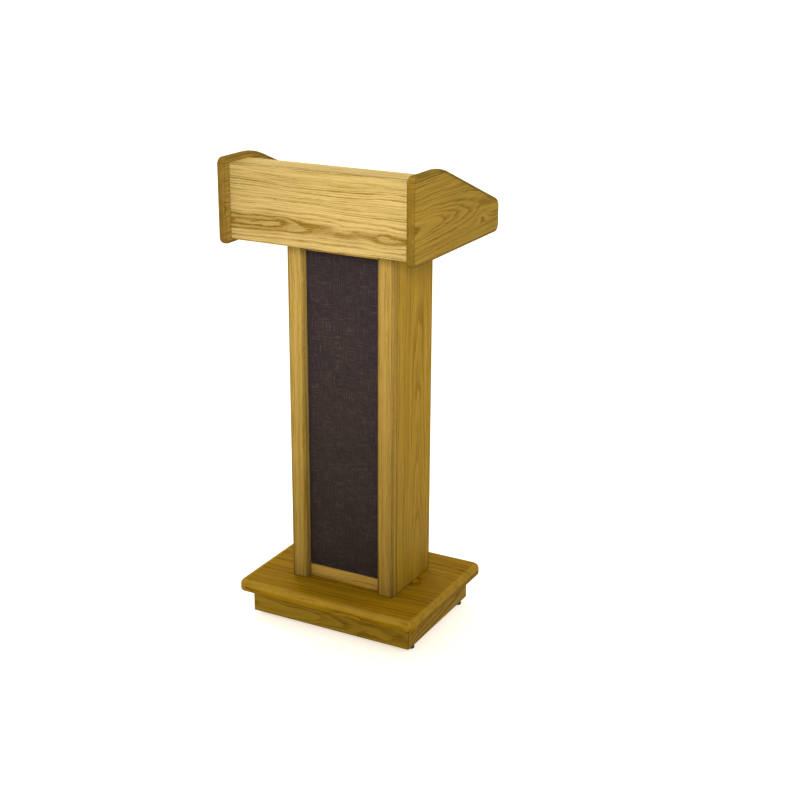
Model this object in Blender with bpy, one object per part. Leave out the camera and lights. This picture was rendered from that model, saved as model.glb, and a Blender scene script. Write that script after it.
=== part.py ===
"""Full-height oak speaker's lectern with a cloth-fronted column on a plinth.

Metres, +Z up. The origin is on the floor under the middle of the head. The audience side
faces -Y, the speaker stands at +Y, and +X is to the right as the audience sees it.
"""

import math

import bmesh
import bpy
from mathutils import Matrix

# Driving dimensions.
HEIGHT = 1.194
BOARD = 0.019  # thickness of the oak boards
GAP = 0.0003  # left between pieces that touch
EASE = 0.0008  # chamfer on sawn edges

# Head: two shaped side boards with the front panel, ledge and reading surface between them.
HEAD_WIDTH = 0.516
HEAD_DEPTH = 0.460
HEAD_HEIGHT = 0.206
SIDE_FLAT = 0.139  # level part of the side boards' top edge, from the front
SLOPE = math.radians(21.6)
SIDE_CORNER_RADIUS = 0.017
SIDE_REAR_RADIUS = 0.024
SIDE_PEAK_RADIUS = 0.200
SIDE_EDGE_RADIUS = 0.0065
PANEL_SETBACK = 0.0245  # front panel behind the side boards' front edges
PANEL_TOP_DROP = 0.014  # front panel and ledge below the side boards' top
PANEL_BOTTOM_RISE = 0.010  # front panel and bottom board above the side boards' bottom
PANEL_EDGE_RADIUS = 0.003
LEDGE_END = 0.107  # where the ledge meets the reading surface, from the front
READING_THICKNESS = 0.016
STOP_INSET = 0.008  # book stop in front of the side boards' rear edges
STOP_RISE = 0.014  # book stop above the reading surface
STOP_EDGE_RADIUS = 0.005
CLEAT = 0.018
CLEAT_FRONT = 0.140  # cleats start and end, from the front
CLEAT_REAR = 0.350

# Column: side boards with stiles on their front edges, and a cloth panel behind the stiles.
COLUMN_WIDTH = 0.292
COLUMN_DEPTH = 0.202
CENTRE_Y = -0.008  # column and plinth sit a little forward of the head's middle
STILE_WIDTH = 0.044
STILE_EDGE_RADIUS = 0.005
BOTTOM_RAIL_HEIGHT = 0.033
TOP_RAIL_HEIGHT = 0.035
CLOTH_SETBACK = 0.0015  # cloth behind the stiles' backs
CLOTH_THICKNESS = 0.001
BAFFLE_THICKNESS = 0.012
BACK_THICKNESS = 0.006

# Loudspeakers on the back of the baffle.
SPEAKER_HEIGHTS = {"upper": 0.700, "lower": 0.560}  # above the plinth
SPEAKER_CUTOUT_RADIUS = 0.0465
SPEAKER_PROFILE = [  # dust cap, cone and frame in one, as (radius, depth behind the baffle)
    (0, 0.0100), (0.0080, 0.0112), (0.0135, 0.0150), (0.0400, 0.0020), (0.0440, 0.0010),
    (0.0480, 0), (0.0520, 0), (0.0520, 0.0030), (0.0450, 0.0030), (0.0280, 0.0240),
    (0.0280, 0.0280), (0, 0.0280),
]
MAGNET_PROFILE = [  # the same, from the back of the loudspeaker's frame
    (0, 0), (0.0300, 0), (0.0300, 0.0030), (0.0360, 0.0030), (0.0360, 0.0150),
    (0.0300, 0.0150), (0.0300, 0.0190), (0, 0.0190),
]

# Plinth.
PLINTH_WIDTH = 0.508
PLINTH_DEPTH = 0.396
PLINTH_THICKNESS = 0.028
PLINTH_CORNER_RADIUS = 0.022
PLINTH_NOSE_RADIUS = 0.0125  # upper edge of the top board
PLINTH_LOWER_RADIUS = 0.003  # its lower edge
SKIRT_WIDTH = 0.452
SKIRT_DEPTH = 0.332
SKIRT_HEIGHT = 0.065
BLOCK_LEG = 0.036
BLOCK_RISE = 0.002  # corner blocks above the skirt's bottom edge

# Levelling glides under the skirt's side boards.
GLIDE_HEIGHT = 0.010  # skirt above the floor
GLIDE_FROM_END = 0.032
GLIDE_PAD_RADIUS = 0.009
GLIDE_PAD_HEIGHT = 0.006
GLIDE_PAD_EDGE = 0.0012
GLIDE_PAD_SIDES = 20
GLIDE_HEX_RADIUS = 0.0065
GLIDE_STEM_RADIUS = 0.00285
GLIDE_STEM_TOP = 0.036
GLIDE_INSERT_RADIUS = 0.0046
GLIDE_INSERT_LENGTH = 0.017
GLIDE_HOLE_DEPTH = 0.029

# Fasteners.
BOLT_RADIUS = 0.003
BOLT_HEAD_RADIUS = 0.0055
BOLT_HEAD_HEIGHT = 0.004
BOLT_LENGTH = 0.034
BOLT_HOLE_EXTRA = 0.001  # how far a bolt's hole runs past it at each end
BOLT_X = 0.095
BOLT_Y = 0.052
SCREW_RADIUS = 0.0017
SCREW_HEAD_RADIUS = 0.004
SCREW_HEAD_HEIGHT = 0.0024
SCREW_LENGTH = 0.019
SCREW_POINT = 0.004
SCREW_X = 0.108

# Levels and planes that follow from them. Heights are above the floor.
PLINTH_TOP = GLIDE_HEIGHT + SKIRT_HEIGHT + PLINTH_THICKNESS
HEAD_BOTTOM = HEIGHT - HEAD_HEIGHT
COLUMN_TOP = HEAD_BOTTOM + PANEL_BOTTOM_RISE
COLUMN_HEIGHT = COLUMN_TOP - PLINTH_TOP
INNER_HALF = HEAD_WIDTH / 2 - BOARD - GAP  # half length of the boards between the head's sides
COLUMN_INNER_HALF = COLUMN_WIDTH / 2 - BOARD - GAP
STILE_BACK = -COLUMN_DEPTH / 2 + BOARD
CLOTH_FRONT = STILE_BACK + CLOTH_SETBACK
BAFFLE_FRONT = CLOTH_FRONT + CLOTH_THICKNESS + GAP
BAFFLE_BACK = BAFFLE_FRONT + BAFFLE_THICKNESS
RAIL_BACK = STILE_BACK + GAP + BOARD
BACK_FRONT = COLUMN_DEPTH / 2 - BACK_THICKNESS
INNER_BOARD_MIDDLE = (RAIL_BACK + BACK_FRONT) / 2

# Smoothness.
CORNER_STEPS = 6
EDGE_STEPS = 3
RIM_STEPS = 4
ROUND_SIDES = 24
HOLE_SIDES = 12


def clear_scene():
    for item in list(bpy.data.objects):
        bpy.data.objects.remove(item, do_unlink=True)


def material(name, colour, roughness, metallic=0.0):
    made = bpy.data.materials.new(name)
    made.use_nodes = True
    made.diffuse_color = (*colour, 1.0)
    shader = made.node_tree.nodes["Principled BSDF"]
    shader.inputs["Base Color"].default_value = (*colour, 1.0)
    shader.inputs["Roughness"].default_value = roughness
    shader.inputs["Metallic"].default_value = metallic
    return made


def assembly(name, location):
    """An empty that a group of pieces hangs from."""
    empty = bpy.data.objects.new(name, None)
    empty.location = location
    bpy.context.scene.collection.objects.link(empty)
    return empty


def piece(name, mesh, finish, parent, location=(0, 0, 0)):
    made = bpy.data.objects.new(name, mesh)
    made.parent = parent
    made.location = location
    if finish is not None and not mesh.materials:
        mesh.materials.append(finish)
    bpy.context.scene.collection.objects.link(made)
    return made


def mesh_from(bm, name, smooth=False):
    bmesh.ops.recalc_face_normals(bm, faces=bm.faces)
    mesh = bpy.data.meshes.new(name)
    bm.to_mesh(mesh)
    bm.free()
    if smooth:
        mesh.shade_smooth()
        mesh.set_sharp_from_angle(angle=math.radians(35))
    return mesh


def ease(item, width=EASE, segments=1):
    """Bevels the item's square edges and leaves its rounded ones alone."""
    bevel = item.modifiers.new("eased_edges", "BEVEL")
    bevel.width = width
    bevel.segments = segments
    bevel.limit_method = "ANGLE"
    bevel.angle_limit = math.radians(50)
    bevel.use_clamp_overlap = True


def drill(item, location, radius, depth, axis="Z"):
    """Cuts a round hole centred on a point in the item's parent's frame."""
    bm = bmesh.new()
    turn = Matrix.Rotation(math.radians(90), 4, "X") if axis == "Y" else Matrix.Identity(4)
    bmesh.ops.create_cone(
        bm, cap_ends=True, segments=HOLE_SIDES if radius < 0.01 else ROUND_SIDES * 2,
        radius1=radius, radius2=radius, depth=depth, matrix=turn,
    )
    cutter = piece(f"cutter_{item.name}", mesh_from(bm, "cutter"), None, item.parent, location)
    cutter.hide_render = True
    cutter.display_type = "WIRE"
    cut = item.modifiers.new("hole", "BOOLEAN")
    cut.operation = "DIFFERENCE"
    cut.solver = "EXACT"
    cut.object = cutter


def box_mesh(name, size, rounded=None, radius=0.0):
    """A box centred on its origin. rounded(middle, direction) picks the edges to round."""
    bm = bmesh.new()
    bmesh.ops.create_cube(bm, size=1.0, matrix=Matrix.Diagonal((*size, 1.0)))
    if rounded is not None:
        chosen = []
        for edge in bm.edges:
            ends = [vertex.co for vertex in edge.verts]
            if rounded((ends[0] + ends[1]) / 2, (ends[1] - ends[0]).normalized()):
                chosen.append(edge)
        bmesh.ops.bevel(
            bm, geom=chosen, offset=radius, segments=EDGE_STEPS, profile=0.5, affect="EDGES"
        )
    return mesh_from(bm, name, smooth=rounded is not None)


def board(name, finish, parent, x, y, z, rounded=None, radius=0.0):
    """A board between two values of each axis, in the parent's frame."""
    spans = (x, y, z)
    size = [high - low for low, high in spans]
    middle = [(low + high) / 2 for low, high in spans]
    made = piece(name, box_mesh(name, size, rounded, radius), finish, parent, middle)
    ease(made)
    return made


def prism_mesh(name, outline, thickness, axis, smooth=False, rims=()):
    """Extrudes an outline evenly both ways along X, from (y, z), or along Z, from (x, y).

    rims lists (side, radius) for the ends whose rim is rounded, with side 1 or -1."""
    bm = bmesh.new()
    half = thickness / 2
    place = {"X": lambda a, b: (-half, a, b), "Z": lambda a, b: (a, b, -half)}[axis]
    shift = {"X": (thickness, 0, 0), "Z": (0, 0, thickness)}[axis]
    face = bm.faces.new([bm.verts.new(place(a, b)) for a, b in outline])
    extruded = bmesh.ops.extrude_face_region(bm, geom=[face])
    moved = [part for part in extruded["geom"] if isinstance(part, bmesh.types.BMVert)]
    bmesh.ops.translate(bm, verts=moved, vec=shift)
    across = "XYZ".index(axis)
    for side, radius in rims:
        end = [v for v in bm.verts if side * v.co[across] > half - GAP]
        rim = [edge for edge in bm.edges if all(v in end for v in edge.verts)]
        bmesh.ops.bevel(
            bm, geom=rim, offset=radius, segments=RIM_STEPS, profile=0.5, affect="EDGES"
        )
    return mesh_from(bm, name, smooth)


def rounded_outline(corners):
    """Rounds each corner (a, b, radius) of a polygon with an arc."""
    points = []
    for index, (a, b, radius) in enumerate(corners):
        before = corners[index - 1]
        after = corners[(index + 1) % len(corners)]
        back = math.atan2(before[1] - b, before[0] - a)
        ahead = math.atan2(after[1] - b, after[0] - a)
        half_inside = abs((ahead - back + math.pi) % (2 * math.pi) - math.pi) / 2
        bisector = math.atan2(
            math.sin(back) + math.sin(ahead), math.cos(back) + math.cos(ahead)
        )
        reach = radius / math.sin(half_inside)
        centre = (a + reach * math.cos(bisector), b + reach * math.sin(bisector))
        turned = math.pi - 2 * half_inside
        side = 1 if math.sin(ahead - back) < 0 else -1
        for step in range(CORNER_STEPS + 1):
            part = step / CORNER_STEPS - 0.5
            angle = bisector + math.pi + side * turned * part
            points.append(
                (centre[0] + radius * math.cos(angle), centre[1] + radius * math.sin(angle))
            )
    return points


def turned_mesh(name, profile, sides=ROUND_SIDES, axis="Z"):
    """Turns a closed profile of (radius, height) points about Z, or about Y towards +Y."""
    bm = bmesh.new()
    rings = []
    for radius, height in profile:
        count = sides if radius > 0 else 1
        ring = []
        for step in range(count):
            angle = 2 * math.pi * step / sides
            ring.append(bm.verts.new((radius * math.cos(angle), radius * math.sin(angle), height)))
        rings.append(ring)
    hollow = profile[0][0] > 0
    pairs = list(zip(rings, rings[1:] + rings[:1])) if hollow else list(zip(rings, rings[1:]))
    for low, high in pairs:
        for step in range(sides):
            after = (step + 1) % sides
            loop = [low[step % len(low)], low[after % len(low)]]
            loop += [high[after % len(high)], high[step % len(high)]]
            bm.faces.new(list(dict.fromkeys(loop)))
    if axis == "Y":
        bmesh.ops.rotate(bm, verts=bm.verts, matrix=Matrix.Rotation(math.radians(-90), 3, "X"))
    return mesh_from(bm, name, smooth=True)


def slope_height(distance):
    """Height of the reading surface above the head's bottom, this far from its front edge."""
    ledge_top = HEAD_HEIGHT - PANEL_TOP_DROP
    return ledge_top - (distance - LEDGE_END) * math.tan(SLOPE)


def corners_of_four():
    """The four corners, as (name, sign along X, sign along Y)."""
    for end, sign_y in (("front", -1), ("rear", 1)):
        for side, sign_x in (("left", -1), ("right", 1)):
            yield f"{end}_{side}", sign_x, sign_y


def build_head(oak, steel):
    head = assembly("head", (0, 0, HEAD_BOTTOM))
    front = -HEAD_DEPTH / 2
    rear = HEAD_DEPTH / 2
    rear_height = HEAD_HEIGHT - (HEAD_DEPTH - SIDE_FLAT) * math.tan(SLOPE)
    outline = rounded_outline([
        (front, 0, SIDE_CORNER_RADIUS),
        (rear, 0, SIDE_CORNER_RADIUS),
        (rear, rear_height, SIDE_REAR_RADIUS),
        (front + SIDE_FLAT, HEAD_HEIGHT, SIDE_PEAK_RADIUS),
        (front, HEAD_HEIGHT, SIDE_CORNER_RADIUS),
    ])
    side_mesh = prism_mesh("head_side", outline, BOARD, "X", smooth=True)
    for side, sign in (("left", -1), ("right", 1)):
        place = (sign * (HEAD_WIDTH - BOARD) / 2, 0, 0)
        ease(piece(f"head_side_{side}", side_mesh, oak, head, place), SIDE_EDGE_RADIUS, 4)

    inner = (-INNER_HALF, INNER_HALF)
    panel_back = front + PANEL_SETBACK + BOARD
    ledge_top = HEAD_HEIGHT - PANEL_TOP_DROP
    stop_back = rear - STOP_INSET
    stop_front = stop_back - BOARD
    board(
        "head_front_panel", oak, head, inner,
        (front + PANEL_SETBACK, panel_back), (PANEL_BOTTOM_RISE, ledge_top),
        lambda middle, along: abs(along.x) > 0.9 and middle.y < 0, PANEL_EDGE_RADIUS,
    )
    board(
        "head_ledge", oak, head, inner,
        (panel_back + GAP, front + LEDGE_END), (ledge_top - BOARD, ledge_top),
    )
    bottom = board(
        "head_bottom_board", oak, head, inner,
        (panel_back + GAP, stop_front - GAP), (PANEL_BOTTOM_RISE, PANEL_BOTTOM_RISE + BOARD),
    )
    stop_top = slope_height(stop_front - front) + STOP_RISE
    board(
        "book_stop_rail", oak, head, inner,
        (stop_front, stop_back), (PANEL_BOTTOM_RISE, stop_top),
        lambda middle, along: abs(along.x) > 0.9 and middle.z > 0, STOP_EDGE_RADIUS,
    )

    depth = READING_THICKNESS / math.cos(SLOPE)
    ends = (front + LEDGE_END + GAP, stop_front - GAP)
    tops = [slope_height(end - front) for end in ends]
    outline = list(zip(ends, tops)) + [(ends[1], tops[1] - depth), (ends[0], tops[0] - depth)]
    mesh = prism_mesh("reading_surface", outline, 2 * INNER_HALF, "X")
    ease(piece("reading_surface", mesh, oak, head))

    cleat_ends = (front + CLEAT_FRONT, front + CLEAT_REAR)
    tops = [slope_height(end - front) - depth - GAP for end in cleat_ends]
    drop = CLEAT / math.cos(SLOPE)
    outline = list(zip(cleat_ends, tops))
    outline += [(cleat_ends[1], tops[1] - drop), (cleat_ends[0], tops[0] - drop)]
    mesh = prism_mesh("reading_cleat", outline, CLEAT, "X")
    for side, sign in (("left", -1), ("right", 1)):
        place = (sign * (INNER_HALF - CLEAT / 2), 0, 0)
        piece(f"reading_cleat_{side}", mesh, oak, head, place)

    add_bolts("head_bolt", head, steel, COLUMN_TOP - HEAD_BOTTOM - BOARD - GAP, bottom)


def add_bolts(name, parent, steel, head_top, drilled):
    """Four bolts that point up, with their heads under this height of the parent's frame."""
    shift = CENTRE_Y - parent.location.y
    profile = [(0, -BOLT_HEAD_HEIGHT), (BOLT_HEAD_RADIUS, -BOLT_HEAD_HEIGHT)]
    profile += [(BOLT_HEAD_RADIUS, -GAP), (BOLT_RADIUS, -GAP)]
    profile += [(BOLT_RADIUS, BOLT_LENGTH), (0, BOLT_LENGTH)]
    mesh = turned_mesh(name, profile, HOLE_SIDES)
    for corner, sign_x, sign_y in corners_of_four():
        place = (sign_x * BOLT_X, shift + INNER_BOARD_MIDDLE + sign_y * BOLT_Y, head_top)
        piece(f"{name}_{corner}", mesh, steel, parent, place)
        middle = (place[0], place[1], head_top + (BOLT_LENGTH + GAP) / 2)
        drill(drilled, middle, BOLT_RADIUS + GAP, BOLT_LENGTH + GAP)


def build_column(oak, ply, cloth, black, magnet_grey, steel):
    column = assembly("column", (0, CENTRE_Y, PLINTH_TOP))
    front = -COLUMN_DEPTH / 2
    back = COLUMN_DEPTH / 2
    full = (GAP, COLUMN_HEIGHT - GAP)
    inner = (-COLUMN_INNER_HALF, COLUMN_INNER_HALF)
    for side, sign in (("left", -1), ("right", 1)):
        outer = sign * COLUMN_WIDTH / 2
        span = sorted((outer, outer - sign * BOARD))
        board(f"column_side_{side}", oak, column, span, (STILE_BACK + GAP, back), full)
        span = sorted((outer, outer - sign * STILE_WIDTH))
        board(
            f"front_stile_{side}", oak, column, span, (front, STILE_BACK), full,
            lambda middle, along: abs(along.z) > 0.9 and middle.y < 0, STILE_EDGE_RADIUS,
        )
    rail_depth = (STILE_BACK + GAP, RAIL_BACK)
    board("bottom_rail", oak, column, inner, rail_depth, (GAP, BOTTOM_RAIL_HEIGHT))
    rail_low = COLUMN_HEIGHT - TOP_RAIL_HEIGHT
    board("top_rail", oak, column, inner, rail_depth, (rail_low, COLUMN_HEIGHT - GAP))

    opening = (BOTTOM_RAIL_HEIGHT + GAP, rail_low - GAP)
    cloth_depth = (CLOTH_FRONT, CLOTH_FRONT + CLOTH_THICKNESS)
    mesh = box_mesh(
        "grille_cloth", (2 * COLUMN_INNER_HALF, CLOTH_THICKNESS, opening[1] - opening[0])
    )
    place = (0, sum(cloth_depth) / 2, sum(opening) / 2)
    piece("grille_cloth", mesh, cloth, column, place)
    baffle = board(
        "speaker_baffle", ply, column, inner, (BAFFLE_FRONT, BAFFLE_BACK), opening
    )
    for level, height in SPEAKER_HEIGHTS.items():
        middle = (0, (BAFFLE_FRONT + BAFFLE_BACK) / 2, height)
        drill(baffle, middle, SPEAKER_CUTOUT_RADIUS, 3 * BAFFLE_THICKNESS, "Y")
        place = (0, BAFFLE_BACK + GAP, height)
        mesh = turned_mesh("speaker", SPEAKER_PROFILE, axis="Y")
        piece(f"speaker_{level}", mesh, black, column, place)
        place = (0, BAFFLE_BACK + GAP + SPEAKER_PROFILE[-1][1] + GAP, height)
        mesh = turned_mesh("speaker_magnet", MAGNET_PROFILE, axis="Y")
        piece(f"speaker_magnet_{level}", mesh, magnet_grey, column, place)

    inner_depth = (RAIL_BACK + GAP, BACK_FRONT - GAP)
    levels = {"top": COLUMN_HEIGHT - GAP - BOARD, "bottom": GAP}
    boards = {}
    for level, low in levels.items():
        name = f"column_{level}_board"
        boards[level] = board(name, ply, column, inner, inner_depth, (low, low + BOARD))
    panel = board("back_panel", oak, column, inner, (BACK_FRONT, back), full)
    add_screws(column, steel, panel, boards, levels)
    return boards


def add_screws(column, steel, panel, boards, levels):
    """Screws through the back panel into the rear edges of the inner boards."""
    profile = [(0, -SCREW_LENGTH), (SCREW_RADIUS, SCREW_POINT - SCREW_LENGTH), (SCREW_RADIUS, GAP)]
    profile += [(SCREW_HEAD_RADIUS, GAP), (0.8 * SCREW_HEAD_RADIUS, 0.75 * SCREW_HEAD_HEIGHT)]
    profile += [(0, SCREW_HEAD_HEIGHT)]
    mesh = turned_mesh("back_screw", profile, HOLE_SIDES, axis="Y")
    for level, low in levels.items():
        for side, sign in (("left", -1), ("right", 1)):
            place = (sign * SCREW_X, COLUMN_DEPTH / 2, low + BOARD / 2)
            piece(f"back_screw_{level}_{side}", mesh, steel, column, place)
            for item in (panel, boards[level]):
                drill(item, place, SCREW_RADIUS + GAP, 2 * (SCREW_LENGTH + GAP), "Y")


def build_plinth(oak, steel, nylon, brass):
    plinth = assembly("plinth", (0, CENTRE_Y, 0))
    half_x = PLINTH_WIDTH / 2
    half_y = PLINTH_DEPTH / 2
    outline = rounded_outline([
        (-half_x, -half_y, PLINTH_CORNER_RADIUS),
        (half_x, -half_y, PLINTH_CORNER_RADIUS),
        (half_x, half_y, PLINTH_CORNER_RADIUS),
        (-half_x, half_y, PLINTH_CORNER_RADIUS),
    ])
    rims = ((1, PLINTH_NOSE_RADIUS), (-1, PLINTH_LOWER_RADIUS))
    mesh = prism_mesh("plinth_top_board", outline, PLINTH_THICKNESS, "Z", smooth=True, rims=rims)
    place = (0, 0, PLINTH_TOP - PLINTH_THICKNESS / 2)
    top_board = piece("plinth_top_board", mesh, oak, plinth, place)

    skirt_top = GLIDE_HEIGHT + SKIRT_HEIGHT - GAP
    middle_z = (GLIDE_HEIGHT + skirt_top) / 2
    height = skirt_top - GLIDE_HEIGHT
    skirts = {}
    for name, length, reach, turn in (
        ("front", SKIRT_WIDTH, SKIRT_DEPTH / 2, 0),
        ("right", SKIRT_DEPTH, SKIRT_WIDTH / 2, 90),
        ("rear", SKIRT_WIDTH, SKIRT_DEPTH / 2, 180),
        ("left", SKIRT_DEPTH, SKIRT_WIDTH / 2, 270),
    ):
        half = length / 2 - GAP
        outline = [(-half, -BOARD / 2), (half, -BOARD / 2)]
        outline += [(half - BOARD, BOARD / 2), (BOARD - half, BOARD / 2)]
        mesh = prism_mesh(f"skirt_{name}", outline, height, "Z")
        angle = math.radians(turn)
        distance = reach - BOARD / 2
        place = (distance * math.sin(angle), -distance * math.cos(angle), middle_z)
        skirts[name] = piece(f"skirt_{name}", mesh, oak, plinth, place)
        skirts[name].rotation_euler.z = angle
        ease(skirts[name])

    block_height = height - BLOCK_RISE
    outline = [(0, 0), (BLOCK_LEG, 0), (0, BLOCK_LEG)]
    block_mesh = prism_mesh("corner_block", outline, block_height, "Z")
    inset = BOARD + GAP
    for corner, sign_x, sign_y in corners_of_four():
        place = (
            sign_x * (SKIRT_WIDTH / 2 - inset),
            sign_y * (SKIRT_DEPTH / 2 - inset),
            skirt_top - block_height / 2,
        )
        block = piece(f"corner_block_{corner}", block_mesh, oak, plinth, place)
        turns = {(-1, -1): 0, (1, -1): 90, (1, 1): 180, (-1, 1): 270}
        block.rotation_euler.z = math.radians(turns[sign_x, sign_y])

    for corner, sign_x, sign_y in corners_of_four():
        side_board = skirts["left" if sign_x < 0 else "right"]
        add_glide(corner, sign_x, sign_y, side_board, plinth, steel, nylon, brass)
    add_bolts("plinth_bolt", plinth, steel, PLINTH_TOP - PLINTH_THICKNESS - GAP, top_board)


def add_glide(corner, sign_x, sign_y, side_board, plinth, steel, nylon, brass):
    """A pad on a threaded stem that runs in an insert in the side board's bottom edge."""
    x = sign_x * (SKIRT_WIDTH - BOARD) / 2
    y = sign_y * (SKIRT_DEPTH / 2 - GLIDE_FROM_END)
    axis = assembly(f"glide_axis_{corner}", (x, y, 0))
    axis.parent = plinth

    inner_radius = GLIDE_PAD_RADIUS - GLIDE_PAD_EDGE
    profile = [(0, 0), (inner_radius, 0), (GLIDE_PAD_RADIUS, GLIDE_PAD_EDGE)]
    profile += [(GLIDE_PAD_RADIUS, GLIDE_PAD_HEIGHT - GLIDE_PAD_EDGE)]
    profile += [(inner_radius, GLIDE_PAD_HEIGHT), (0, GLIDE_PAD_HEIGHT)]
    mesh = turned_mesh("glide_pad", profile, GLIDE_PAD_SIDES)
    piece(f"glide_pad_{corner}", mesh, nylon, axis)

    hex_low = GLIDE_PAD_HEIGHT + GAP
    hex_high = GLIDE_HEIGHT - 2 * GAP
    stem = piece(f"glide_stem_{corner}", stem_mesh(hex_low, hex_high), steel, axis)
    stem.rotation_euler.z = math.radians(30)  # turns a flat of the hexagon to the front

    low = GLIDE_HEIGHT + GAP
    high = low + GLIDE_INSERT_LENGTH
    bore = GLIDE_STEM_RADIUS + GAP
    profile = [(bore, low), (GLIDE_INSERT_RADIUS, low), (GLIDE_INSERT_RADIUS, high), (bore, high)]
    mesh = turned_mesh("glide_insert", profile, HOLE_SIDES)
    piece(f"glide_insert_{corner}", mesh, brass, plinth, (x, y, 0))
    middle = (x, y, GLIDE_HEIGHT)
    drill(side_board, middle, GLIDE_INSERT_RADIUS + GAP, 2 * GLIDE_HOLE_DEPTH)


def stem_mesh(hex_low, hex_high):
    """A hexagonal flange with a round rod on top, joined at the flange's upper face."""
    bm = bmesh.new()
    low = [bm.verts.new(point) for point in ring(GLIDE_HEX_RADIUS, hex_low, 6)]
    high = [bm.verts.new(point) for point in ring(GLIDE_HEX_RADIUS, hex_high, 6)]
    foot = [bm.verts.new(point) for point in ring(GLIDE_STEM_RADIUS, hex_high, HOLE_SIDES)]
    top = [bm.verts.new(point) for point in ring(GLIDE_STEM_RADIUS, GLIDE_STEM_TOP, HOLE_SIDES)]
    bm.faces.new(low[::-1])
    bm.faces.new(top)
    for step in range(6):
        after = (step + 1) % 6
        bm.faces.new((low[step], low[after], high[after], high[step]))
        round_step = [foot[(2 * step + offset) % HOLE_SIDES] for offset in (0, 1, 2)]
        bm.faces.new((high[step], high[after], round_step[2], round_step[1], round_step[0]))
    for step in range(HOLE_SIDES):
        after = (step + 1) % HOLE_SIDES
        bm.faces.new((foot[step], foot[after], top[after], top[step]))
    return mesh_from(bm, "glide_stem", smooth=True)


def ring(radius, height, sides):
    """Points round a circle or a regular polygon about Z."""
    angles = [2 * math.pi * step / sides for step in range(sides)]
    return [(radius * math.cos(angle), radius * math.sin(angle), height) for angle in angles]


def drill_column_boards(boards):
    """Holes for the bolts that come up from the plinth and go up into the head."""
    starts = {"bottom": GAP - PLINTH_THICKNESS, "top": COLUMN_HEIGHT - BOARD - 2 * GAP}
    for level, item in boards.items():
        for _, sign_x, sign_y in corners_of_four():
            middle_z = starts[level] + BOLT_LENGTH / 2
            place = (sign_x * BOLT_X, INNER_BOARD_MIDDLE + sign_y * BOLT_Y, middle_z)
            drill(item, place, BOLT_RADIUS + GAP, BOLT_LENGTH + 2 * BOLT_HOLE_EXTRA)


def main():
    clear_scene()
    oak = material("oak", (0.62, 0.41, 0.12), 0.42)
    ply = material("plywood", (0.55, 0.42, 0.25), 0.7)
    cloth = material("speaker_cloth", (0.035, 0.026, 0.024), 0.95)
    black = material("speaker_black", (0.02, 0.02, 0.02), 0.6)
    magnet_grey = material("magnet_steel", (0.30, 0.30, 0.30), 0.45, 1.0)
    steel = material("zinc_steel", (0.62, 0.62, 0.60), 0.35, 1.0)
    brass = material("brass", (0.70, 0.52, 0.22), 0.35, 1.0)
    nylon = material("black_nylon", (0.015, 0.015, 0.015), 0.5)

    build_head(oak, steel)
    boards = build_column(oak, ply, cloth, black, magnet_grey, steel)
    drill_column_boards(boards)
    build_plinth(oak, steel, nylon, brass)


main()
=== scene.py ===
"""Looks for the oak lectern: finished oak boards, woven cloth, hardware, studio, light and camera."""

import math

import bmesh
import bpy
from mathutils import Matrix, Vector


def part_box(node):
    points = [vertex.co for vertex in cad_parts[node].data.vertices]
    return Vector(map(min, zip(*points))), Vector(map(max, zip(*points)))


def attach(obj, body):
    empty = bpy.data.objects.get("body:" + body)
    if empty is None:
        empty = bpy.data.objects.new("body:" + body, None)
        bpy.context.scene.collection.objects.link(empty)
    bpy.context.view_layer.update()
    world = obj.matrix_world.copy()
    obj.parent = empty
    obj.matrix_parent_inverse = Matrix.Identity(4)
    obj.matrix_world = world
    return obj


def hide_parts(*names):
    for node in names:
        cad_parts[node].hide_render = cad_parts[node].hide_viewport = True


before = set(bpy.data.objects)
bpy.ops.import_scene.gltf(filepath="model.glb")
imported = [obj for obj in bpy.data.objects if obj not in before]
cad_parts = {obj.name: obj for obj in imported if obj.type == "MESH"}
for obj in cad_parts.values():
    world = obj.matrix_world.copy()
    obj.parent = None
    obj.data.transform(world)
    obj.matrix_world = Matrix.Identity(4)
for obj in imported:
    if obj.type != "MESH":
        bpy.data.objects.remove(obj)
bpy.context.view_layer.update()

X, Y, Z = Vector((1, 0, 0)), Vector((0, 1, 0)), Vector((0, 0, 1))
READING_SLOPE = math.radians(21.6)
UPHILL = Vector((0, math.cos(READING_SLOPE), -math.sin(READING_SLOPE)))
READING_NORMAL = Vector((0, math.sin(READING_SLOPE), math.cos(READING_SLOPE)))


# Node helpers -----------------------------------------------------------------------------------

FLOAT, VECTOR, COLOUR = "NodeSocketFloat", "NodeSocketVector", "NodeSocketColor"
MIX_COLOUR_INPUTS = (6, 7)  # the Mix node's sockets for colours
MIX_COLOUR_OUTPUT = 2
HALF = (0.5, 0.5, 0.5)  # the middle of a noise colour


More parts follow.
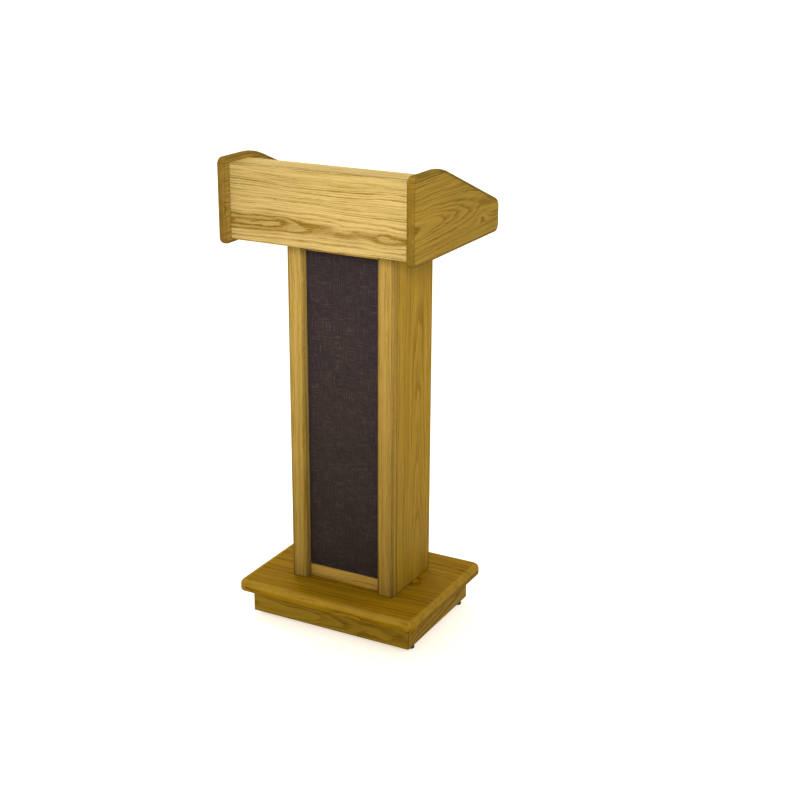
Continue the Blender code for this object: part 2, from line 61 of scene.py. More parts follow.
class Nodes:
    """Short calls that add shader nodes to one tree."""

    def __init__(self, tree):
        self.tree = tree

    def add(self, kind, *inputs, out=0, **settings):
        """Adds a node, sets or links its inputs in order, and returns one of its outputs."""
        node = self.tree.nodes.new(kind)
        for name, value in settings.items():
            setattr(node, name, value)
        for socket, value in zip(node.inputs, inputs):
            self.feed(socket, value)
        return node.outputs[out]

    def feed(self, socket, value):
        """Links a socket or sets a value. None leaves the socket as it is."""
        if value is None:
            return
        if isinstance(value, bpy.types.NodeSocket):
            self.tree.links.new(value, socket)
        else:
            socket.default_value = value

    def math(self, operation, a, b=None, c=None, clamp=False):
        return self.add("ShaderNodeMath", a, b, c, operation=operation, use_clamp=clamp)

    def vector(self, operation, a, b, out=0):
        return self.add("ShaderNodeVectorMath", a, b, operation=operation, out=out)

    def dot(self, a, b):
        return self.vector("DOT_PRODUCT", a, b, out="Value")

    def combine(self, x, y, z):
        return self.add("ShaderNodeCombineXYZ", x, y, z)

    def noise(self, place, scale, detail=2.0, rough=0.5, out="Fac"):
        """Noise at a place. scale is cycles per metre, as one number or one for each axis."""
        scale = (scale, scale, scale) if isinstance(scale, float) else scale
        place = self.vector("MULTIPLY", place, scale)
        node = self.tree.nodes.new("ShaderNodeTexNoise")
        self.feed(node.inputs["Vector"], place)
        node.inputs["Scale"].default_value = 1.0
        node.inputs["Detail"].default_value = detail
        node.inputs["Roughness"].default_value = rough
        return node.outputs[out]

    def sway(self, place, scale, rough=0.5, detail=2.0):
        """A noise vector about zero."""
        return self.vector("SUBTRACT", self.noise(place, scale, detail, rough, "Color"), HALF)

    def line_noise(self, value, scale, detail):
        """Noise along one number."""
        node = self.tree.nodes.new("ShaderNodeTexNoise")
        node.noise_dimensions = "1D"
        self.feed(node.inputs["W"], value)
        node.inputs["Scale"].default_value = scale
        node.inputs["Detail"].default_value = detail
        return node.outputs["Fac"]

    def range(self, value, low, high, to_low=0.0, to_high=1.0):
        """A smooth step from to_low to to_high as the value goes from low to high."""
        node = self.tree.nodes.new("ShaderNodeMapRange")
        node.interpolation_type = "SMOOTHSTEP"
        for name, given in (
            ("Value", value), ("From Min", low), ("From Max", high),
            ("To Min", to_low), ("To Max", to_high),
        ):
            self.feed(node.inputs[name], given)
        return node.outputs["Result"]

    def mix(self, share, a, b, blend="MIX"):
        node = self.tree.nodes.new("ShaderNodeMix")
        node.data_type = "RGBA"
        node.blend_type = blend
        self.feed(node.inputs["Factor"], share)
        for index, value in zip(MIX_COLOUR_INPUTS, (a, b)):
            self.feed(node.inputs[index], (*value, 1.0) if isinstance(value, tuple) else value)
        return node.outputs[MIX_COLOUR_OUTPUT]

    def tinted(self, colour, tint):
        return self.mix(1.0, colour, tint, "MULTIPLY")

    def ramp(self, value, stops):
        """A grey ramp through stops of (position, grey)."""
        node = self.tree.nodes.new("ShaderNodeValToRGB")
        band = node.color_ramp
        while len(band.elements) < len(stops):
            band.elements.new(0.5)
        for element, (position, grey) in zip(band.elements, stops):
            element.position = position
            element.color = (grey, grey, grey, 1.0)
        self.feed(node.inputs["Fac"], value)
        return node.outputs["Color"]

    def separate(self, value):
        node = self.tree.nodes.new("ShaderNodeSeparateXYZ")
        self.feed(node.inputs[0], value)
        return node.outputs

    def object_place(self):
        return self.tree.nodes.new("ShaderNodeTexCoord").outputs["Object"]

    def geometry(self, output):
        return self.tree.nodes.new("ShaderNodeNewGeometry").outputs[output]

    def attribute(self, name):
        node = self.tree.nodes.new("ShaderNodeAttribute")
        node.attribute_name = name
        return node.outputs["Fac"]

    def bump(self, shader, height, distance, strength):
        node = self.tree.nodes.new("ShaderNodeBump")
        node.inputs["Strength"].default_value = strength
        node.inputs["Distance"].default_value = distance
        self.feed(node.inputs["Height"], height)
        self.feed(shader.inputs["Normal"], node.outputs["Normal"])


def group_nodes(name, inputs, outputs):
    """A new node group, as (group, its Nodes, its inputs by name, its outputs by name)."""
    group = bpy.data.node_groups.new(name, "ShaderNodeTree")
    for label, kind, value in inputs:
        socket = group.interface.new_socket(label, in_out="INPUT", socket_type=kind)
        socket.default_value = value
    for label, kind in outputs:
        group.interface.new_socket(label, in_out="OUTPUT", socket_type=kind)
    entry = group.nodes.new("NodeGroupInput")
    leave = group.nodes.new("NodeGroupOutput")
    return group, Nodes(group), entry.outputs, leave.inputs


def principled(name):
    """A new material, as (material, its Nodes, its Principled BSDF)."""
    made = bpy.data.materials.new(name)
    made.use_nodes = True
    return made, Nodes(made.node_tree), made.node_tree.nodes["Principled BSDF"]


# Oak --------------------------------------------------------------------------------------------

OAK_LIGHT = (0.290, 0.184, 0.0345)
OAK_DARK = (0.100, 0.0475, 0.0010)
OAK_RAY = (0.40, 0.27, 0.075)
OAK_END = (0.100, 0.056, 0.0070)
DEEPER, PALER = (0.95, 0.95, 0.90), (1.05, 1.04, 1.05)  # tints
LACQUER_TINT = (1.0, 0.82, 0.55, 1.0)

# Noise scales, in cycles per metre along, across and through the board.
WANDER_SCALE = (4.2, 12.0, 12.0)
SHIVER_SCALE = (26.0, 120.0, 120.0)
PATCH_SCALE = (11.0, 60.0, 60.0)
PORE_SCALE = (70.0, 1300.0, 1300.0)
STREAK_SCALE = (9.0, 430.0, 430.0)
RAY_SCALE = (120.0, 520.0, 60.0)
DRIFT_SCALE = (1.3, 22.0, 22.0)
RUB_SCALE = 38.0
SMUDGE_SCALE = 14.0

SHIVER_SIZE = (0.0, 0.0036, 0.0036)
EYE_NARROWNESS = (26.0, 48.0, 0.0)  # the larger, the smaller the eye is along and across
EYE_SWELLING = 0.016
HEART_FADE = 1.12  # the heart's dark tone ends at this many times its radius
RING_NOISE_SCALE, RING_STRENGTH_SCALE = 0.55, 0.31  # noise scales, in cycles per ring
RING_NOISE = 2.0  # the most rings that the noise adds
RING_PROFILE = [(0.0, 0.80), (0.07, 1.0), (0.26, 0.62), (0.46, 0.14), (0.92, 0.0), (1.0, 0.80)]

# How much each feature darkens or colours the wood.
BAND_SHARE, PORE_SHARE, STREAK_SHARE = 0.86, 0.40, 0.30
RAY_SHARE, END_SHARE = 0.14, 0.40
PORES_IN_LIGHT_WOOD = 0.25

# Roughness of light wood, and what dark wood, worn arrises and smudges add to it.
OAK_ROUGHNESS, DARK_ROUGHNESS, EDGE_ROUGHNESS, SMUDGE_ROUGHNESS = 0.36, 0.14, 0.10, 0.10
# Depth of pores, ring bands and streaks, as shares of the bump's distance.
PORE_DEPTH, BAND_DEPTH, STREAK_DEPTH = -0.8, -0.35, -0.25
OAK_BUMP_DISTANCE, OAK_BUMP_STRENGTH = 0.00035, 0.55


def make_oak_group():
    """Oak in the board's own frame, in metres: X along the grain, Y across the board, Z through it.

    The growth rings are cylinders about a tilted pith line. The board cuts through them, which
    draws straight lines where the pith is far away and arches where it is close."""
    group, n, given, made = group_nodes(
        "oak",
        [
            ("Place", VECTOR, (0, 0, 0)), ("Seed", VECTOR, (0, 0, 0)),
            ("Pith across", FLOAT, 0.0), ("Pith depth", FLOAT, 0.1), ("Tilt", FLOAT, 0.05),
            ("Ring", FLOAT, 0.006), ("Wander", FLOAT, 0.01), ("Contrast", FLOAT, 1.0),
            ("Board tint and painted light", VECTOR, (1, 1, 1)), ("Band share, rubbed and painted light", FLOAT, 0.2), ("Band colour, rubbed and painted light", VECTOR, (0, 0, 0)),
            ("Edge", FLOAT, 0.0), ("End", FLOAT, 0.0), ("Eye place", VECTOR, (0, 0, 0)),
            ("Eye", FLOAT, 0.0), ("Heart radius", FLOAT, 0.0), ("Heart", FLOAT, 0.0),
        ],
        [("Color", COLOUR), ("Roughness", FLOAT), ("Height", FLOAT)],
    )
    place = given["Place"]
    seeded = n.vector("ADD", place, given["Seed"])

    # The rings wander slowly along the board, and shiver a little.
    wander = n.combine(given["Wander"], given["Wander"], given["Wander"])
    slow = n.vector("MULTIPLY", n.sway(seeded, WANDER_SCALE), wander)
    quick = n.vector("MULTIPLY", n.sway(seeded, SHIVER_SCALE, 0.6, 3.0), SHIVER_SIZE)
    bent = n.vector("ADD", n.vector("ADD", place, slow), quick)
    along, across, through = n.separate(bent)[:3]
    across = n.math("SUBTRACT", across, given["Pith across"])
    depth = n.math("MULTIPLY_ADD", along, given["Tilt"], given["Pith depth"])
    depth = n.math("ADD", through, depth)
    squares = n.math("ADD", n.math("MULTIPLY", across, across), n.math("MULTIPLY", depth, depth))
    radius = n.math("SQRT", squares)

    # An eye is a closed figure, where a swelling of the trunk meets the surface.
    away = n.vector("MULTIPLY", n.vector("SUBTRACT", bent, given["Eye place"]), EYE_NARROWNESS)
    near = n.math("EXPONENT", n.math("MULTIPLY", n.dot(away, away), -1.0))
    radius = n.math("MULTIPLY_ADD", near, given["Eye"], radius)
    turns = n.math("DIVIDE", radius, given["Ring"])

    # The oldest rings can be darker.
    heart_end = n.math("MULTIPLY", given["Heart radius"], HEART_FADE)
    heart = n.math("MULTIPLY", n.range(radius, given["Heart radius"], heart_end, 1.0, 0.0),
                   given["Heart"])

    # Rings differ in width and in strength.
    turns = n.math("MULTIPLY_ADD", n.line_noise(turns, RING_NOISE_SCALE, 1.0), RING_NOISE, turns)
    strength = n.range(n.line_noise(turns, RING_STRENGTH_SCALE, 2.0), 0.30, 0.62, 0.35, 1.0)
    patch = n.range(n.noise(seeded, PATCH_SCALE), 0.30, 0.58, 0.50, 1.0)
    band = n.ramp(n.math("FRACT", turns), RING_PROFILE)
    band = n.math("MULTIPLY", n.math("MULTIPLY", band, strength), patch)

    # Pores are short dark dashes along the grain, most of them in the dark part of each ring.
    pores = n.range(n.noise(seeded, PORE_SCALE, 1.0), 0.53, 0.65)
    pores = n.math("MULTIPLY", pores, n.math("MULTIPLY_ADD", band, 1.0 - PORES_IN_LIGHT_WOOD,
                                             PORES_IN_LIGHT_WOOD))
    streak = n.range(n.noise(seeded, STREAK_SCALE, 2.0, 0.6), 0.42, 0.66)

    # Rays are small pale flecks.
    rays = n.range(n.noise(seeded, RAY_SCALE, 1.0), 0.64, 0.74)

    dark = n.math("MULTIPLY_ADD", band, BAND_SHARE, n.math("MULTIPLY", pores, PORE_SHARE))
    dark = n.math("ADD", n.math("MULTIPLY_ADD", streak, STREAK_SHARE, dark), heart)
    dark = n.math("MULTIPLY", dark, given["Contrast"], clamp=True)
    colour = n.mix(dark, OAK_LIGHT, OAK_DARK)
    colour = n.mix(n.math("MULTIPLY", rays, RAY_SHARE), colour, OAK_RAY)

    # Broad drift between deeper and paler wood, in long stripes.
    drift = n.range(n.noise(seeded, DRIFT_SCALE), 0.35, 0.65)
    colour = n.mix(drift, n.tinted(colour, DEEPER), n.tinted(colour, PALER))

    # End grain is darker. The arrises take the band colour: wear where lacquer is rubbed or gathers,
    # and painted light on some boards: a painted highlight on the plinth, painted shade on the
    # stiles.
    rub = n.range(n.noise(seeded, RUB_SCALE, 3.0, 0.6), 0.30, 0.62, 0.65, 1.0)
    edge = n.math("MULTIPLY", n.math("MULTIPLY", given["Edge"], rub), given["Band share, rubbed and painted light"])
    colour = n.mix(n.math("MULTIPLY", given["End"], END_SHARE), colour, OAK_END)
    colour = n.mix(edge, colour, given["Band colour, rubbed and painted light"])
    # The tone is the wood's own, and on some boards painted light: raised on the ledge and bottom
    # rail, lowered as painted shade on the plinth and skirts.
    n.feed(made["Color"], n.vector("MULTIPLY", colour, given["Board tint and painted light"]))

    rough = n.math("MULTIPLY_ADD", dark, DARK_ROUGHNESS, OAK_ROUGHNESS)
    rough = n.math("MULTIPLY_ADD", edge, EDGE_ROUGHNESS, rough)
    smudge = n.noise(seeded, SMUDGE_SCALE, 3.0, 0.6)
    n.feed(made["Roughness"], n.math("MULTIPLY_ADD", smudge, SMUDGE_ROUGHNESS, rough))
    height = n.math("MULTIPLY_ADD", pores, PORE_DEPTH, n.math("MULTIPLY", band, BAND_DEPTH))
    n.feed(made["Height"], n.math("MULTIPLY_ADD", streak, STREAK_DEPTH, height))
    return group


OAK = make_oak_group()


def oak(name, middle, along, across, tone_and_painted_light=(1.0, 1.0, 1.0), pith=(0.0, 0.09), tilt=0.05,
        ring=0.0062, wander=0.016, contrast=1.0, seed=0.0, wear_and_painted_light=0.25, wear_and_painted_light_colour=OAK_END,
        eye=None, heart=(0.0, 0.0), gloss=0.05):
    """Lacquered oak for one board.

    pith is where the tree's middle lies, across the board and below it. heart is the radius and
    the strength of the darker oldest rings. eye is an eye's place, along the board and across."""
    made, n, shader = principled("oak_" + name)
    through = along.cross(across)
    offset = n.vector("SUBTRACT", n.object_place(), tuple(middle))
    parts = [n.dot(offset, tuple(axis)) for axis in (along, across, through)]
    # A face that looks along the grain shows end grain.
    facing = n.math("ABSOLUTE", n.dot(n.geometry("Normal"), tuple(along)))
    node = n.tree.nodes.new("ShaderNodeGroup")
    node.node_tree = OAK
    for label, value in {
        "Place": n.combine(*parts),
        # The seed moves each board to its own place in the noise.
        "Seed": (seed * 1.37, seed * 0.71 + 3.0, seed * 0.53 - 2.0),
        "Pith across": pith[0], "Pith depth": pith[1], "Tilt": tilt, "Ring": ring,
        "Wander": wander, "Contrast": contrast, "Board tint and painted light": tone_and_painted_light, "Band share, rubbed and painted light": wear_and_painted_light, "Band colour, rubbed and painted light": wear_and_painted_light_colour,
        "Edge": n.attribute("arris"), "End": n.range(facing, 0.45, 0.95),
        "Eye place": (*eye, 0.0) if eye else (0.0, 0.0, 0.0),
        "Eye": EYE_SWELLING if eye else 0.0,
        "Heart radius": heart[0], "Heart": heart[1],
    }.items():
        n.feed(node.inputs[label], value)
    n.feed(shader.inputs["Base Color"], node.outputs["Color"])
    n.feed(shader.inputs["Roughness"], node.outputs["Roughness"])
    shader.inputs["Specular IOR Level"].default_value = gloss
    shader.inputs["Specular Tint"].default_value = LACQUER_TINT
    n.bump(shader, node.outputs["Height"], OAK_BUMP_DISTANCE, OAK_BUMP_STRENGTH)
    return made


# Boards -----------------------------------------------------------------------------------------

BAND_WIDTH = 0.0026  # of the band beside each arris: wear, and on some boards painted light
NARROWEST_PLANE = 0.012  # mean width; a narrower plane is all band
PLANE_STEPS = 50  # a plane's distance is rounded to 0.01 / PLANE_STEPS metres
WELD_DISTANCE = 2e-6
FLAT_ANGLE = math.radians(0.05)
SHARP_ANGLE = math.radians(62)
DOWNWARD = -0.04  # a normal whose Z is less looks down


def plane_groups(bm):
    """Faces of the mesh that lie in one plane, for each plane that is wide both ways."""
    groups = {}
    for face in bm.faces:
        normal = face.normal
        distance = PLANE_STEPS * normal.dot(face.verts[0].co)
        key = tuple(round(v, 2) + 0.0 for v in (*normal, distance))
        groups.setdefault(key, []).append(face)
    for key in sorted(groups):
        faces = groups[key]
        corners = [v.co for face in faces for v in face.verts]
        length = max((a - b).length for a in corners for b in corners)
        if sum(face.calc_area() for face in faces) > NARROWEST_PLANE * length:
            yield faces


def finished_board(node, body, finish, wear_and_painted_light_below):
    """Stands for a CAD board: the same shape welded and smooth, with a band along each arris.

    The layer "arris" is 1 on the arrises and 0 on the flats, and fades between them."""
    bm = bmesh.new()
    bm.from_mesh(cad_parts[node].data)
    layer = bm.verts.layers.float.new("arris")
    bmesh.ops.remove_doubles(bm, verts=bm.verts, dist=WELD_DISTANCE)
    bmesh.ops.dissolve_limit(bm, angle_limit=FLAT_ANGLE, verts=bm.verts, edges=bm.edges)
    bm.normal_update()
    flat = set()
    for faces in list(plane_groups(bm)):
        bmesh.ops.inset_region(
            bm, faces=faces, thickness=BAND_WIDTH, use_even_offset=True, use_boundary=True
        )
        flat.update(v for face in faces for v in face.verts)
    for vertex in bm.verts:
        # On the plinth the band is a painted highlight, so it stays off the downward arrises there.
        spared = vertex in flat or (vertex.normal.z < DOWNWARD and not wear_and_painted_light_below)
        vertex[layer] = 0.0 if spared else 1.0
    mesh = bpy.data.meshes.new(node + "_finished")
    bm.to_mesh(mesh)
    bm.free()
    mesh.shade_smooth()
    mesh.set_sharp_from_angle(angle=SHARP_ANGLE)
    mesh.materials.clear()
    mesh.materials.append(finish)
    made = bpy.data.objects.new(node + "_finished", mesh)
    bpy.context.scene.collection.objects.link(made)
    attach(made, body)
    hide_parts(node)


def middle_of(node):
    low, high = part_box(node)
    return (low + high) / 2


# What boards of one kind share.
HEAD_SIDE = dict(ring=0.0054, contrast=0.88, gloss=0.015, wear_and_painted_light=0.72,
                 wear_and_painted_light_colour=(0.094, 0.053, 0.0080))
# The stiles' dark arris band is wear and also painted shade of the reveal and the rounded corners.
STILE = dict(tilt=0.01, wear_and_painted_light=0.45, gloss=0.015)
COLUMN_SIDE = dict(tilt=0.03, wander=0.020, contrast=0.8, wear_and_painted_light=0.5, gloss=0.012)
RAIL = dict(pith=(0.12, 0.1))
# The skirts' low tone, blue most of all, is partly the wood's colour and partly painted shade under
# the plinth's nose.
LONG_SKIRT = dict(tilt=0.04, wander=0.024, contrast=0.9, tone_and_painted_light=(0.68, 0.66, 0.30), gloss=0.02)
SHORT_SKIRT = dict(tilt=0.05, gloss=0.02)

# name: (grain direction, direction across the board, how it was cut and coloured)
BOARDS = {
    "head_front_panel": (X, Z, dict(
        pith=(-0.044, 0.024), tilt=0.012, ring=0.0050, wander=0.022, contrast=0.95,
        tone_and_painted_light=(0.88, 0.99, 1.48), seed=2.0, wear_and_painted_light=0.06, heart=(0.0355, 0.42))),
    # The ledge's raised tone, paler than the front panel's, is painted top light.
    "head_ledge": (X, Y, dict(
        pith=(0.15, 0.20), contrast=0.7, tone_and_painted_light=(1.07, 1.18, 1.68), seed=4.1, wear_and_painted_light=0.06)),
    "reading_surface": (X, UPHILL, dict(
        pith=(0.03, 0.05), ring=0.0066, wander=0.03, tone_and_painted_light=(0.88, 0.96, 1.08), seed=5.6)),
    "book_stop_rail": (X, Z, dict(pith=(0.10, 0.18), seed=6.3)),
    "head_bottom_board": (X, Y, dict(pith=(0.02, 0.10), seed=7.7)),
    "head_side_left": (Y, Z, dict(
        HEAD_SIDE, pith=(-0.02, 0.030), tilt=0.08, wander=0.020, tone_and_painted_light=(0.67, 0.65, 0.52),
        seed=8.2)),
    "head_side_right": (Y, Z, dict(
        HEAD_SIDE, pith=(-0.015, 0.030), tilt=0.06, wander=0.018, tone_and_painted_light=(0.66, 0.66, 0.39),
        seed=9.4, eye=(0.130, -0.043))),
    "front_stile_left": (Z, X, dict(
        STILE, pith=(0.16, 0.12), contrast=0.7, tone_and_painted_light=(0.77, 0.80, 0.85), seed=11.0)),
    "front_stile_right": (Z, X, dict(
        STILE, pith=(-0.14, 0.15), contrast=0.6, tone_and_painted_light=(0.73, 0.73, 0.74), seed=12.5)),
    "column_side_left": (Z, Y, dict(
        COLUMN_SIDE, pith=(0.03, 0.05), tone_and_painted_light=(0.77, 0.75, 0.41), seed=13.1)),
    "column_side_right": (Z, Y, dict(
        COLUMN_SIDE, pith=(0.02, 0.055), tone_and_painted_light=(0.77, 0.75, 0.39), seed=14.9)),
    "top_rail": (X, Z, dict(RAIL, seed=15.2)),
    # The bottom rail's raised tone is painted light that lifts the shade of its recess.
    "bottom_rail": (X, Z, dict(RAIL, tone_and_painted_light=(1.08, 1.08, 1.07), seed=16.8)),
    "back_panel": (Z, X, dict(
        pith=(0.01, 0.05), tilt=0.03, ring=0.0068, wander=0.03, seed=17.3)),
    # The plinth's pale band is a painted highlight along the top of its nose as well as wear; its low
    # tone, blue most of all, is partly painted shade.
    "plinth_top_board": (X, Y, dict(
        pith=(0.02, 0.07), tilt=0.04, ring=0.0068, wander=0.028, contrast=0.9,
        tone_and_painted_light=(0.72, 0.65, 0.13), wear_and_painted_light=0.50, wear_and_painted_light_colour=(0.400, 0.285, 0.2200), seed=18.6,
        gloss=0.01)),
    "skirt_front": (X, Z, dict(LONG_SKIRT, pith=(-0.01, 0.03), seed=19.7)),
    "skirt_rear": (X, Z, dict(LONG_SKIRT, pith=(0.01, 0.03), seed=20.9)),
    # The short skirts' low tones are partly painted shade too.
    "skirt_left": (Y, Z, dict(
        SHORT_SKIRT, pith=(-0.01, 0.04), tone_and_painted_light=(0.68, 0.66, 0.30), seed=22.4)),
    "skirt_right": (Y, Z, dict(
        SHORT_SKIRT, pith=(0.01, 0.04), tone_and_painted_light=(0.66, 0.63, 0.28), seed=23.8)),
}

for node, (along, across, cut) in BOARDS.items():
    finish = oak(node, middle_of(node), along, across, **cut)
    # The plinth's band is a painted highlight, so it is kept off its underside.
    finished_board(node, "lectern", finish, wear_and_painted_light_below=node != "plinth_top_board")

# Inner oak pieces keep their CAD shape.
for index, node in enumerate(sorted(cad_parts)):
    if node.startswith(("reading_cleat", "corner_block")):
        on_slope = node.startswith("reading_cleat")
        along, across = (UPHILL, READING_NORMAL) if on_slope else (Z, X)
        finish = oak(node, middle_of(node), along, across, pith=(0.1, 0.1),
                     seed=30.0 + 1.3 * index)
        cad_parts[node].material_slots[0].material = finish


# Cloth ------------------------------------------------------------------------------------------

CLOTH_DARK, CLOTH_LIGHT = (0.0021, 0.0015, 0.0012), (0.0382, 0.0254, 0.0198)
CLOTH_FADED = (1.25, 1.18, 1.15)  # tint
THREAD_PITCH = 0.0021
THREAD_WOBBLE = 0.0011
SLUBS_ALONG_X, SLUBS_ALONG_Z = (30.0, 0.0, 420.0), (420.0, 0.0, 30.0)  # noise scales

CLOTH_CELLS = (52, 164)  # across and up
CLOTH_THICKNESS = 0.0005
CLOTH_SETBACK = 0.0001  # behind the front of its CAD solid
HELD_EDGE = 0.012  # the hollow reaches its depth at this distance from an edge
HOLLOW = 0.00022  # its greatest depth


def weave_material():
    """Brown-black acoustic cloth in plain weave, with slubs in both directions."""
    made, n, shader = principled("grille_cloth_weave")
    place = n.object_place()
    x, _, z = n.separate(place)[:3]
    wobble_x, _, wobble_z = n.separate(n.sway(place, 60.0))[:3]

    def thread_number(value, wobble):
        bent = n.math("MULTIPLY_ADD", wobble, THREAD_WOBBLE, value)
        return n.math("DIVIDE", bent, THREAD_PITCH)

    def thread_height(number):
        turn = n.math("MULTIPLY", number, 2 * math.pi)
        return n.math("MULTIPLY_ADD", n.math("COSINE", turn), -0.5, 0.5)

    u, v = thread_number(x, wobble_x), thread_number(z, wobble_z)
    warp, weft = thread_height(u), thread_height(v)
    # The warp lies over the weft at every other crossing.
    over = n.math("MULTIPLY", n.math("SINE", n.math("MULTIPLY", u, math.pi)),
                  n.math("SINE", n.math("MULTIPLY", v, math.pi)))
    over = n.range(over, -0.35, 0.35)
    crossing = n.math("ADD", n.math("MULTIPLY", warp, over),
                      n.math("MULTIPLY", weft, n.math("SUBTRACT", 1.0, over)))
    rows, columns = (n.range(n.noise(place, scale, 2.0, 0.6), 0.50, 0.72)
                     for scale in (SLUBS_ALONG_X, SLUBS_ALONG_Z))
    slub = n.math("MAXIMUM", rows, columns)
    light = n.math("MULTIPLY_ADD", slub, 0.45, n.math("MULTIPLY", crossing, 0.55), clamp=True)
    colour = n.mix(light, CLOTH_DARK, CLOTH_LIGHT)
    faded = n.range(n.noise(place, 9.0, 3.0, 0.6), 0.35, 0.65)
    colour = n.mix(faded, colour, n.tinted(colour, CLOTH_FADED))
    n.feed(shader.inputs["Base Color"], colour)
    n.feed(shader.inputs["Roughness"], n.math("MULTIPLY_ADD", crossing, -0.12, 0.92))
    shader.inputs["Sheen Weight"].default_value = 0.06
    shader.inputs["Sheen Roughness"].default_value = 0.45
    shader.inputs["Specular IOR Level"].default_value = 0.08
    n.bump(shader, n.math("MULTIPLY_ADD", slub, 0.5, crossing), 0.0004, 0.8)
    return made


def stretched_cloth():
    """A sheet drawn tight over the baffle: nearly flat, with a faint hollow between its edges."""
    low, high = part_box("grille_cloth")
    width, length = high.x - low.x, high.z - low.z
    columns, rows = CLOTH_CELLS
    front = low.y + CLOTH_SETBACK
    bm = bmesh.new()
    grid = []
    for j in range(rows + 1):
        line = []
        for i in range(columns + 1):
            a, b = i / columns, j / rows
            to_edge = min(min(a, 1 - a) * width, min(b, 1 - b) * length)
            # Two crossed waves keep the hollow from being even.
            ripple = 0.5 + 0.5 * math.sin(19.0 * a + 2.3 * math.sin(7.0 * b))
            ripple *= 0.5 + 0.5 * math.sin(31.0 * b + 1.7 * a)
            y = front + HOLLOW * min(1.0, to_edge / HELD_EDGE) * ripple
            line.append(bm.verts.new((low.x + a * width, y, low.z + b * length)))
        grid.append(line)
    for j in range(rows):
        for i in range(columns):
            bm.faces.new((grid[j][i], grid[j][i + 1], grid[j + 1][i + 1], grid[j + 1][i]))
    mesh = bpy.data.meshes.new("grille_cloth_sheet")
    bm.to_mesh(mesh)
    bm.free()
    mesh.shade_smooth()
    mesh.materials.append(weave_material())
    cloth = bpy.data.objects.new("grille_cloth_sheet", mesh)
    bpy.context.scene.collection.objects.link(cloth)
    thick = cloth.modifiers.new("thickness", "SOLIDIFY")
    thick.thickness = CLOTH_THICKNESS
    thick.offset = -1.0
    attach(cloth, "lectern")
    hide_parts("grille_cloth")


stretched_cloth()


# Hardware and inner parts -----------------------------------------------------------------------

TURNING_MARKS = (400.0, 400.0, 5200.0)  # noise scale
MARK_ROUGHNESS = 0.10
DULLED = 0.72
PLY_FACE, PLY_FIGURE, PLY_GLUE = (0.52, 0.38, 0.22), (0.40, 0.27, 0.14), (0.16, 0.09, 0.045)
PLY_GRAIN_SCALE = (7.0, 120.0, 120.0)
VENEER = 0.0024
VENEER_PROFILE = [(0.0, 1.0), (0.08, 1.0), (0.16, 0.25), (0.5, 0.0), (1.0, 0.3)]


def metal(name, colour, roughness):
    """Plated or plain metal with fine turning marks and a mottled finish."""
    made, n, shader = principled(name)
    place = n.object_place()
    mottle = n.noise(place, 260.0, 3.0, 0.6)
    marks = n.noise(place, TURNING_MARKS)
    dull = tuple(DULLED * c for c in colour)
    n.feed(shader.inputs["Base Color"], n.mix(n.range(mottle, 0.35, 0.7), colour, dull))
    rough = n.math("MULTIPLY_ADD", mottle, 0.18, roughness - 0.09)
    n.feed(shader.inputs["Roughness"], n.math("MULTIPLY_ADD", marks, MARK_ROUGHNESS, rough))
    shader.inputs["Metallic"].default_value = 1.0
    n.bump(shader, marks, 0.00004, 0.5)
    return made


def moulded(name, colour, roughness, grain=900.0, depth=0.00006):
    """Moulded or doped matt surface with a fine grain, rubbed a little paler."""
    made, n, shader = principled(name)
    place = n.object_place()
    fine = n.noise(place, grain, 2.0, 0.6)
    rub = n.noise(place, 70.0, 3.0, 0.6)
    rubbed = tuple(1.9 * c + 0.006 for c in colour)
    n.feed(shader.inputs["Base Color"], n.mix(n.range(rub, 0.45, 0.75), colour, rubbed))
    n.feed(shader.inputs["Roughness"], n.math("MULTIPLY_ADD", fine, 0.16, roughness - 0.08))
    shader.inputs["Specular IOR Level"].default_value = 0.35
    n.bump(shader, fine, depth, 0.6)
    return made


def plywood(name, through, along):
    """Unfinished plywood: calm face veneer, and thin dark glue lines on its edges."""
    made, n, shader = principled(name)
    place = n.object_place()
    across = through.cross(along)
    parts = [n.dot(place, tuple(axis)) for axis in (along, across, through)]
    grain = n.noise(n.combine(*parts), PLY_GRAIN_SCALE, 4.0, 0.6)
    colour = n.mix(n.range(grain, 0.35, 0.65), PLY_FACE, PLY_FIGURE)
    facing = n.math("ABSOLUTE", n.dot(n.geometry("True Normal"), tuple(through)))
    edge = n.range(facing, 0.8, 0.3)
    layers = n.ramp(n.math("FRACT", n.math("DIVIDE", parts[2], VENEER)), VENEER_PROFILE)
    colour = n.mix(n.math("MULTIPLY", edge, layers), colour, PLY_GLUE)
    n.feed(shader.inputs["Base Color"], colour)
    n.feed(shader.inputs["Roughness"], n.math("MULTIPLY_ADD", grain, 0.15, 0.68))
    n.bump(shader, grain, 0.00015, 0.6)
    return made


zinc = metal("zinc_plated", (0.62, 0.62, 0.59), 0.34)
magnet = metal("magnet_cover", (0.36, 0.36, 0.37), 0.46)
brass = metal("brass_insert", (0.70, 0.50, 0.20), 0.34)
nylon = moulded("black_nylon", (0.012, 0.012, 0.012), 0.48)
cone = moulded("speaker_cone", (0.018, 0.018, 0.019), 0.72, grain=420.0, depth=0.0002)

# start of the node's name: its finish
FINISHES = {
    "back_screw": zinc, "head_bolt": zinc, "plinth_bolt": zinc, "glide_stem": zinc,
    "glide_insert": brass, "glide_pad": nylon, "speaker_magnet": magnet,
    "speaker_upper": cone, "speaker_lower": cone,
    "speaker_baffle": plywood("ply_baffle", Y, Z),
    "column_bottom_board": plywood("ply_flat", Z, X),
    "column_top_board": plywood("ply_flat_top", Z, X),
}
for node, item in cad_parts.items():
    for start, finish in FINISHES.items():
        if node.startswith(start):
            item.material_slots[0].material = finish


# Studio -----------------------------------------------------------------------------------------

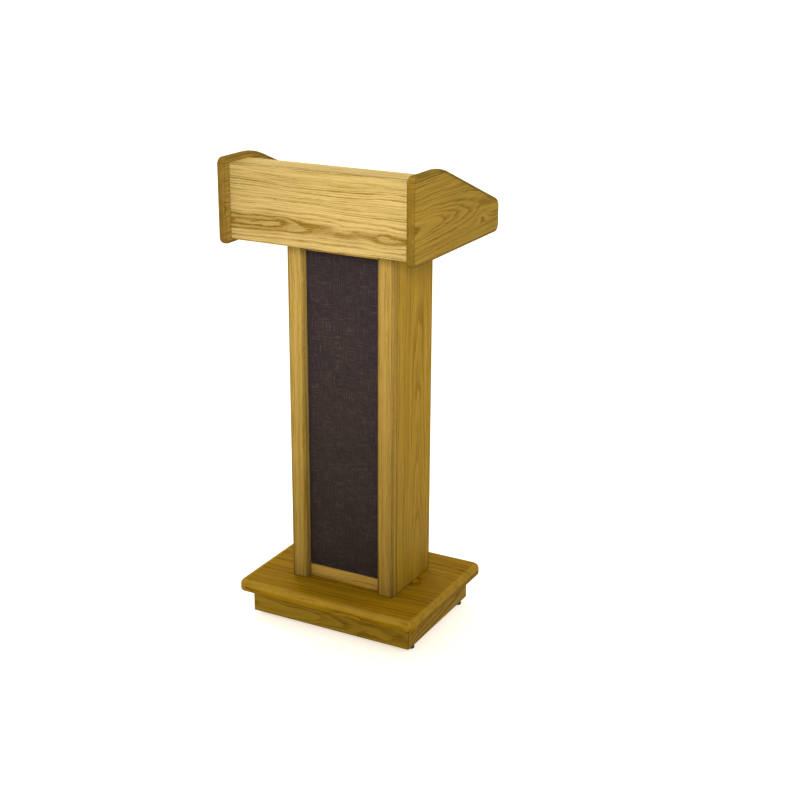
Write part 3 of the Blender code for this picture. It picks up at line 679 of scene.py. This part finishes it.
FLOOR_SIZE = 60.0
FLOOR_GREYS = (0.60, 0.60, 0.60), (0.64, 0.64, 0.64)
FLOOR_GLOW, FLOOR_GLOW_STRENGTH = (1.0, 0.93, 0.82, 1.0), 0.60
ROOM_LIGHT, ROOM_STRENGTH = (1.0, 0.93, 0.75, 1.0), 1.35

# name: (place, aim, radius, watts, beam in degrees, colour)
LAMPS = {
    "key": ((1.00, -2.15, 1.70), (0.0, -0.10, 1.25), 0.35, 490.0, 53.0, (1.0, 1.04, 1.56)),
    "back": ((-1.75, 1.90, 1.60), (0.0, 0.0, 0.80), 0.50, 130.0, 75.0, (1.0, 1.0, 1.0)),
    "top": ((-0.55, 0.05, 3.05), (-0.05, -0.05, 1.00), 0.30, 95.0, 42.0, (1.0, 1.0, 1.0)),
}

# The camera looks down on the lectern from its front right.
LENS, SENSOR = 65.25, 36.0  # millimetres
CLIP_START, CLIP_END = 0.05, 200.0
AZIMUTH, ELEVATION = math.radians(27.767), math.radians(19.169)
DISTANCE = 3.5837
AIM = Vector((0.1068, 0.0, 0.5904))
ROLL = math.radians(0.3545)


def pale_floor():
    bm = bmesh.new()
    bmesh.ops.create_grid(bm, x_segments=8, y_segments=8, size=FLOOR_SIZE)
    mesh = bpy.data.meshes.new("studio_floor")
    bm.to_mesh(mesh)
    bm.free()
    made, n, shader = principled("studio_floor")
    cloudy = n.noise(n.object_place(), 0.8)
    n.feed(shader.inputs["Base Color"], n.mix(cloudy, *FLOOR_GREYS))
    shader.inputs["Emission Color"].default_value = FLOOR_GLOW
    shader.inputs["Emission Strength"].default_value = FLOOR_GLOW_STRENGTH
    shader.inputs["Roughness"].default_value = 0.9
    shader.inputs["Specular IOR Level"].default_value = 0.1
    mesh.materials.append(made)
    floor = bpy.data.objects.new("studio_floor", mesh)
    bpy.context.scene.collection.objects.link(floor)


def soft_spot(name, place, aim, radius, power, beam, colour):
    """A large soft lamp that makes no glints, with a beam that fades evenly from its middle."""
    data = bpy.data.lights.new(name, "SPOT")
    data.shadow_soft_size = radius
    data.energy = power
    data.color = colour
    data.spot_size = math.radians(beam)
    data.spot_blend = 1.0
    lamp = bpy.data.objects.new(name, data)
    lamp.location = place
    lamp.rotation_mode = "QUATERNION"
    lamp.rotation_quaternion = (Vector(aim) - Vector(place)).to_track_quat("-Z", "Y")
    lamp.visible_glossy = False
    bpy.context.scene.collection.objects.link(lamp)


def room_light():
    world = bpy.data.worlds.new("studio")
    world.use_nodes = True
    background = world.node_tree.nodes["Background"]
    background.inputs["Color"].default_value = ROOM_LIGHT
    background.inputs["Strength"].default_value = ROOM_STRENGTH
    bpy.context.scene.world = world


def place_camera():
    data = bpy.data.cameras.new("camera")
    data.sensor_width = SENSOR
    data.lens = LENS
    data.clip_start, data.clip_end = CLIP_START, CLIP_END
    back = Vector((
        math.sin(AZIMUTH) * math.cos(ELEVATION),
        -math.cos(AZIMUTH) * math.cos(ELEVATION),
        math.sin(ELEVATION),
    ))
    level = Z.cross(back).normalized()
    upward = back.cross(level)
    right = level * math.cos(ROLL) + upward * math.sin(ROLL)
    up = upward * math.cos(ROLL) - level * math.sin(ROLL)
    camera = bpy.data.objects.new("camera", data)
    turn = Matrix((right, up, back)).transposed().to_4x4()
    camera.matrix_world = Matrix.Translation(AIM + DISTANCE * back) @ turn
    bpy.context.scene.collection.objects.link(camera)
    bpy.context.scene.camera = camera


pale_floor()
room_light()
for name, settings in LAMPS.items():
    soft_spot(name, *settings)
place_camera()
bpy.context.scene.view_settings.view_transform = "Standard"
